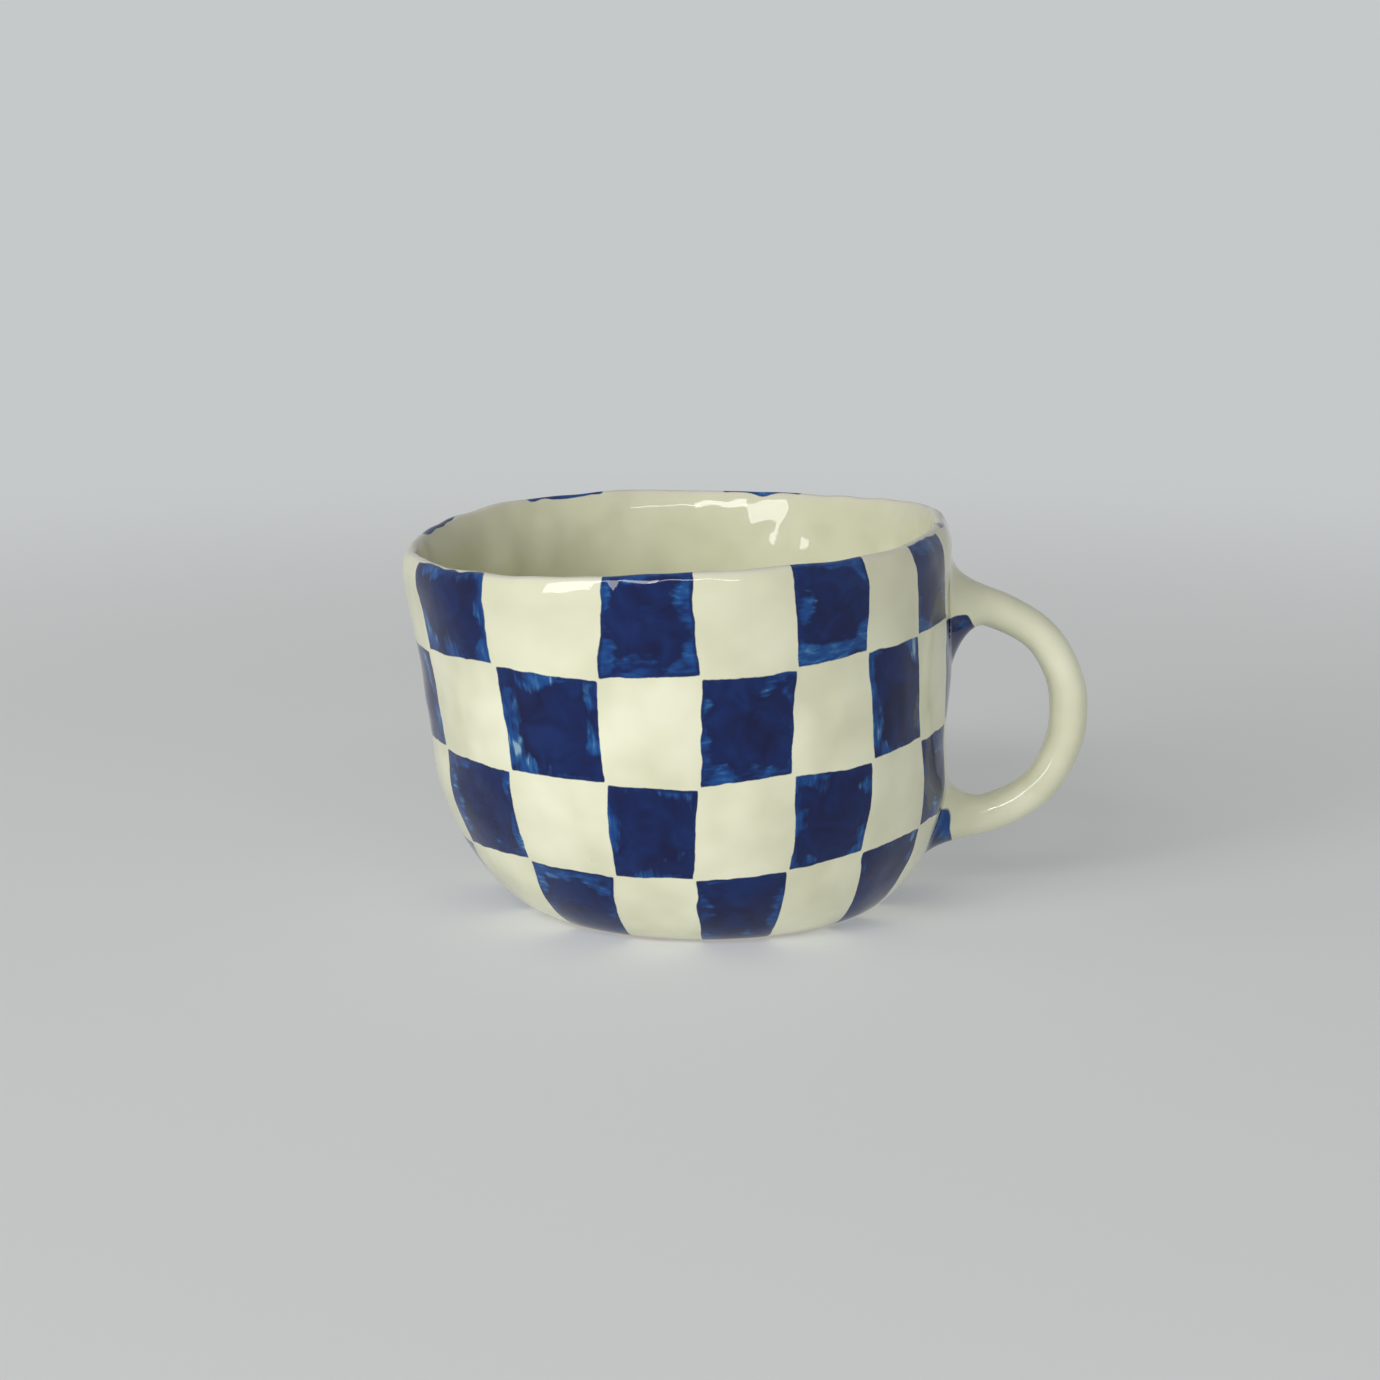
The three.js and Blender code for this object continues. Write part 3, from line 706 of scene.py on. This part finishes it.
# A short pull leaves more clay in the corner: over the root, beside it and under it
roots = {
    "upperHandleRoot": {"height": 59, "rise": 9.7, "drop": 14.5, "halfWidth": 11.5,
                        "pulls": (0.42, 0.22, 0.3), "paint": 3.6},
    "lowerHandleRoot": {"height": 15.2, "rise": 10, "drop": 8.8, "halfWidth": 10.5,
                        "pulls": (0.36, 0.22, 0.36), "paint": 2.6},
}


# The line that the middle of the coil follows, as many points at even steps, and its direction
def coilLine():
    high, low = (root["height"] for root in roots.values())
    middle = (low + high) / 2
    side = bodyMiddle(middle) + bodyRadius(middle)
    points = [np.array([side + handle["reach"] * out, 0, low + (high - low) * up])
              for out, up in handle["curve"]]
    points = [2 * points[0] - points[1], *points, 2 * points[-1] - points[-2]]
    # a smooth curve through the points, whose bends keep to the distances between them
    t = np.linspace(0, 1, steps["coilBend"], endpoint=False)[:, None]
    line = []
    for a, b, c, d in zip(points, points[1:], points[2:], points[3:]):
        before, step, after = (math.sqrt(np.linalg.norm(q - p))
                               for p, q in ((a, b), (b, c), (c, d)))
        leave = step * ((b - a) / before - (c - a) / (before + step) + (c - b) / step)
        reach = step * ((c - b) / step - (d - b) / (step + after) + (d - c) / after)
        line.append(b + t * (leave + t * (3 * (c - b) - 2 * leave - reach
                                          + t * (2 * (b - c) + leave + reach))))
    line = np.concatenate([*line, points[-2][None]])
    lengths = np.append(0, np.cumsum(np.linalg.norm(np.diff(line, axis=0), axis=1)))
    even = np.linspace(0, lengths[-1], steps["coilLine"])
    line = np.stack([np.interp(even, lengths, line[:, axis]) for axis in range(3)], -1)
    # a sliding average takes out what is left of the corners
    half = round(handle["easing"] / lengths[-1] * steps["coilLine"] / 2)
    weights = np.hanning(2 * half + 1)
    longer = np.pad(line, ((half, half), (0, 0)), "reflect", reflect_type="odd")
    line = np.stack([np.convolve(longer[:, axis], weights / weights.sum(), "valid")
                     for axis in range(3)], -1)
    return line, unit(np.gradient(line, axis=0))


def onLine(values, share):
    places = np.linspace(0, 1, len(values))
    return np.stack([np.interp(share, places, values[:, axis]) for axis in range(3)], -1)


def coilRings(line, along, share):
    turn = fullTurn * np.arange(steps["coilAround"]) / steps["coilAround"]
    middle, direction = onLine(line, share)[:, None], unit(onLine(along, share))[:, None]
    outward = np.stack([-direction[..., 2], 0 * direction[..., 0], direction[..., 0]], -1)
    sideways = np.array([0, -1, 0])
    swell = handle["swell"] * np.sin(handle["swells"] * fullTurn * share)[:, None, None]
    spoke = (outward * np.cos(turn)[:, None] * (handle["thickness"] + swell) / 2
             + sideways * np.sin(turn)[:, None] * (handle["width"] + swell) / 2)
    plain = middle + spoke
    uneven = handle["lump"] * clayNoise(plain, handle["lumpSize"]) - handle["skin"]
    return plain + unit(spoke) * uneven[..., None]


# A root's lines keep the coil's direction at first and then turn to lie along the wall
def rootRings(line, along, share, into, foot):
    turn = fullTurn * np.arange(steps["coilAround"]) / steps["coilAround"]
    start = coilRings(line, along, np.array([share]))[0]
    direction = unit(onLine(along, np.array([share])))[0] * into
    up = -into * np.cos(turn)
    z = foot["height"] + up * np.where(up > 0, foot["rise"], foot["drop"])
    angle = -foot["halfWidth"] * np.sin(turn) / bodyRadius(z)
    end, facing = cupPoint(angle, z), cupNormal(angle, z)
    away = end - cupPoint(np.array(0.0), np.array(float(foot["height"])))
    landing = unit(away - facing * (away * facing).sum(-1, keepdims=True))
    share = np.interp(up, (-1, 0, 1), foot["pulls"][::-1])[:, None]
    pull = share * np.linalg.norm(end - start, axis=-1, keepdims=True)
    t = np.linspace(0, 1, steps["root"] + 1)[:, None, None]
    rings = ((1 - t) ** 3 * start + 3 * (1 - t) ** 2 * t * (start + direction * pull)
             + 3 * (1 - t) * t ** 2 * (end - landing * pull) + t ** 3 * end)
    return rings - facing * handle["sink"] * t ** 6


def makeHandle():
    line, along = coilLine()
    upper = rootRings(line, along, handle["start"], -1, roots["upperHandleRoot"])[::-1]
    coil = coilRings(line, along, np.linspace(handle["start"], handle["end"], steps["coil"] + 1))
    lower = rootRings(line, along, handle["end"], 1, roots["lowerHandleRoot"])
    tube = np.concatenate([upper, coil[1:], lower[1:]])
    normals = gridNormals(tube)
    z = tube[..., 2]
    angle = np.arctan2(tube[..., 1], tube[..., 0] - bodyMiddle(z))
    reach = np.hypot(tube[..., 1], tube[..., 0] - bodyMiddle(z))
    wall = cupPoint(angle, z)
    standOff = reach - np.hypot(wall[..., 1], wall[..., 0] - bodyMiddle(z))
    melt = 1 - smoothStep(0, handle["meltAway"], standOff)[..., None]
    normals = unit(normals * (1 - melt) + cupNormal(angle, z) * melt)
    places = checkPlace(angle, z)
    places = np.hstack([places, places[:, :1]])
    first, last = len(upper) - 1, len(upper) + len(coil) - 2
    runs = {"upperHandleRoot": slice(0, first + 1), "handleCoil": slice(first, last + 1),
            "lowerHandleRoot": slice(last, len(tube))}
    made = {}
    for name, run in runs.items():
        foot = roots.get(name)
        hubs = [tube[run][0].mean(axis=0), tube[run][-1].mean(axis=0)]
        if foot:
            deep = cupPoint(np.array(0.0), np.array(float(foot["height"])), cup["wall"] / 2)
            hubs[0 if name == "upperHandleRoot" else 1] = deep
            wander = clayNoise(tube[run] + readAt["rootPaint"], handle["paintWanderSize"])
            wallReach = bodyRadius(foot["height"])
            room = (wallReach + foot["paint"] - reach[run]
                    + handle["paintWander"] * wander)
        else:
            room = np.full(reach[run].shape, float(handle["noPaint"]))
        crest = np.full(room.shape, float(handle["farFromCrest"]))
        made[name] = putMesh(name, tube[run], normals[run], places[run], room, crest,
                             [checkedGlaze if foot else creamGlaze], hubs)
    return {"upper_handle_root": (made["upperHandleRoot"], "painted_glaze"),
            "handle_coil": (made["handleCoil"], "cream_glaze"),
            "lower_handle_root": (made["lowerHandleRoot"], "painted_glaze")}


pieces = {**makeCup(), **makeHandle()}
for node, (piece, slot) in pieces.items():
    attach(piece, "root")
    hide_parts(node)
print("clay pieces made:", len(pieces))

# A pale table, plain soft studio lamps and the camera
studio = {
    "paper": "#F6F7F7", "backdrop": "#C6C9C9",
    "paperRadius": 4.0, "fadeFrom": 0.2, "fadeTo": 0.6,
    "least": 0.5,  # how much of the backdrop's tone the paper has even near the mug
    "room": "#FFFFFF", "roomStrength": 0.12,
    # name: degrees left of the camera, degrees up, distance, width, height, watts
    "lamps": {
        "softbox": (45, 19.5, 2, 0.7, 0.96, 17.5),
        "shortStrip": (22, 35, 2, 0.8, 0.28, 7.5),
        "strip": (-6, 35, 2, 1.3, 0.1, 4),
        "lowFill": (-26, 2, 2, 2, 0.6, 12),
        "sideFill": (80, 40, 2, 0.9, 0.9, 2.5),
    },
    "plain": ["lowFill", "sideFill"],  # lamps that the glaze doesn't mirror
    "lampTarget": (0, 0, 0.04),
}
camera = {"place": (-0.00262, -0.648, 0.1773), "pitch": 11.91, "lens": 90, "sensor": 36}


# One for rays from the camera, straight, by way of a shine or through glass
def seenRay(tree):
    path = addNode(tree, "LightPath")
    seen = addNode(tree, "Math", {"operation": "MAXIMUM"}, {
        0: path.outputs["Is Camera Ray"], 1: path.outputs["Is Glossy Ray"]})
    return addNode(tree, "Math", {"operation": "MAXIMUM"}, {
        0: seen, 1: path.outputs["Is Transmission Ray"]})


# Matt paper: an even tone without a shine, which turns to the backdrop's with distance
def makePaper():
    material, tree, place = newMaterial("palePaper")
    shader = addNode(tree, "BsdfPrincipled", None, {
        "Base Color": studio["paper"], "Roughness": 0.8, "Specular IOR Level": 0.2})
    far = addNode(tree, "Emission", None, {"Color": studio["backdrop"]})
    distance = addNode(tree, "VectorMath", {"operation": "LENGTH"}, {0: place})
    away = addNode(tree, "MapRange", {"interpolation_type": "SMOOTHSTEP"}, {
        "Value": distance.outputs["Value"], "From Min": studio["fadeFrom"],
        "From Max": studio["fadeTo"], "To Min": studio["least"]})
    mixed = addNode(tree, "MixShader", None, {0: away, 1: shader, 2: far})
    addNode(tree, "OutputMaterial", None, {"Surface": mixed})
    return material


def makeStudio():
    bpy.ops.mesh.primitive_circle_add(vertices=96, radius=studio["paperRadius"],
                                      fill_type="NGON")
    table = bpy.context.object
    table.name = "paperTable"
    table.data.materials.append(makePaper())
    world = bpy.data.worlds.new("studioRoom")
    world.use_nodes = True
    tree = world.node_tree
    tree.nodes.clear()
    room = addNode(tree, "Background", None, {
        "Color": studio["room"], "Strength": studio["roomStrength"]})
    backdrop = addNode(tree, "Background", None, {"Color": studio["backdrop"]})
    mixed = addNode(tree, "MixShader", None, {0: seenRay(tree), 1: room, 2: backdrop})
    addNode(tree, "OutputWorld", None, {"Surface": mixed})
    bpy.context.scene.world = world
    target = Vector(studio["lampTarget"])
    for name, (left, up, distance, width, height, watts) in studio["lamps"].items():
        left, up = math.radians(left), math.radians(up)
        toLamp = Vector((-math.sin(left) * math.cos(up), -math.cos(left) * math.cos(up),
                         math.sin(up)))
        light = bpy.data.lights.new(name, "AREA")
        light.shape = "RECTANGLE"
        light.size, light.size_y, light.energy = width, height, watts
        lamp = bpy.data.objects.new(name, light)
        lamp.location = target + toLamp * distance
        lamp.rotation_euler = toLamp.to_track_quat("Z", "Y").to_euler()
        lamp.visible_glossy = name not in studio["plain"]
        bpy.context.scene.collection.objects.link(lamp)


def makeCamera():
    data = bpy.data.cameras.new("camera")
    data.lens, data.sensor_width = camera["lens"], camera["sensor"]
    view = bpy.data.objects.new("camera", data)
    view.location = camera["place"]
    view.rotation_euler = (math.radians(90 - camera["pitch"]), 0, 0)
    bpy.context.scene.collection.objects.link(view)
    bpy.context.scene.camera = view


makeStudio()
makeCamera()
bpy.context.scene.view_settings.view_transform = "Standard"
print("table, lamps and camera placed")
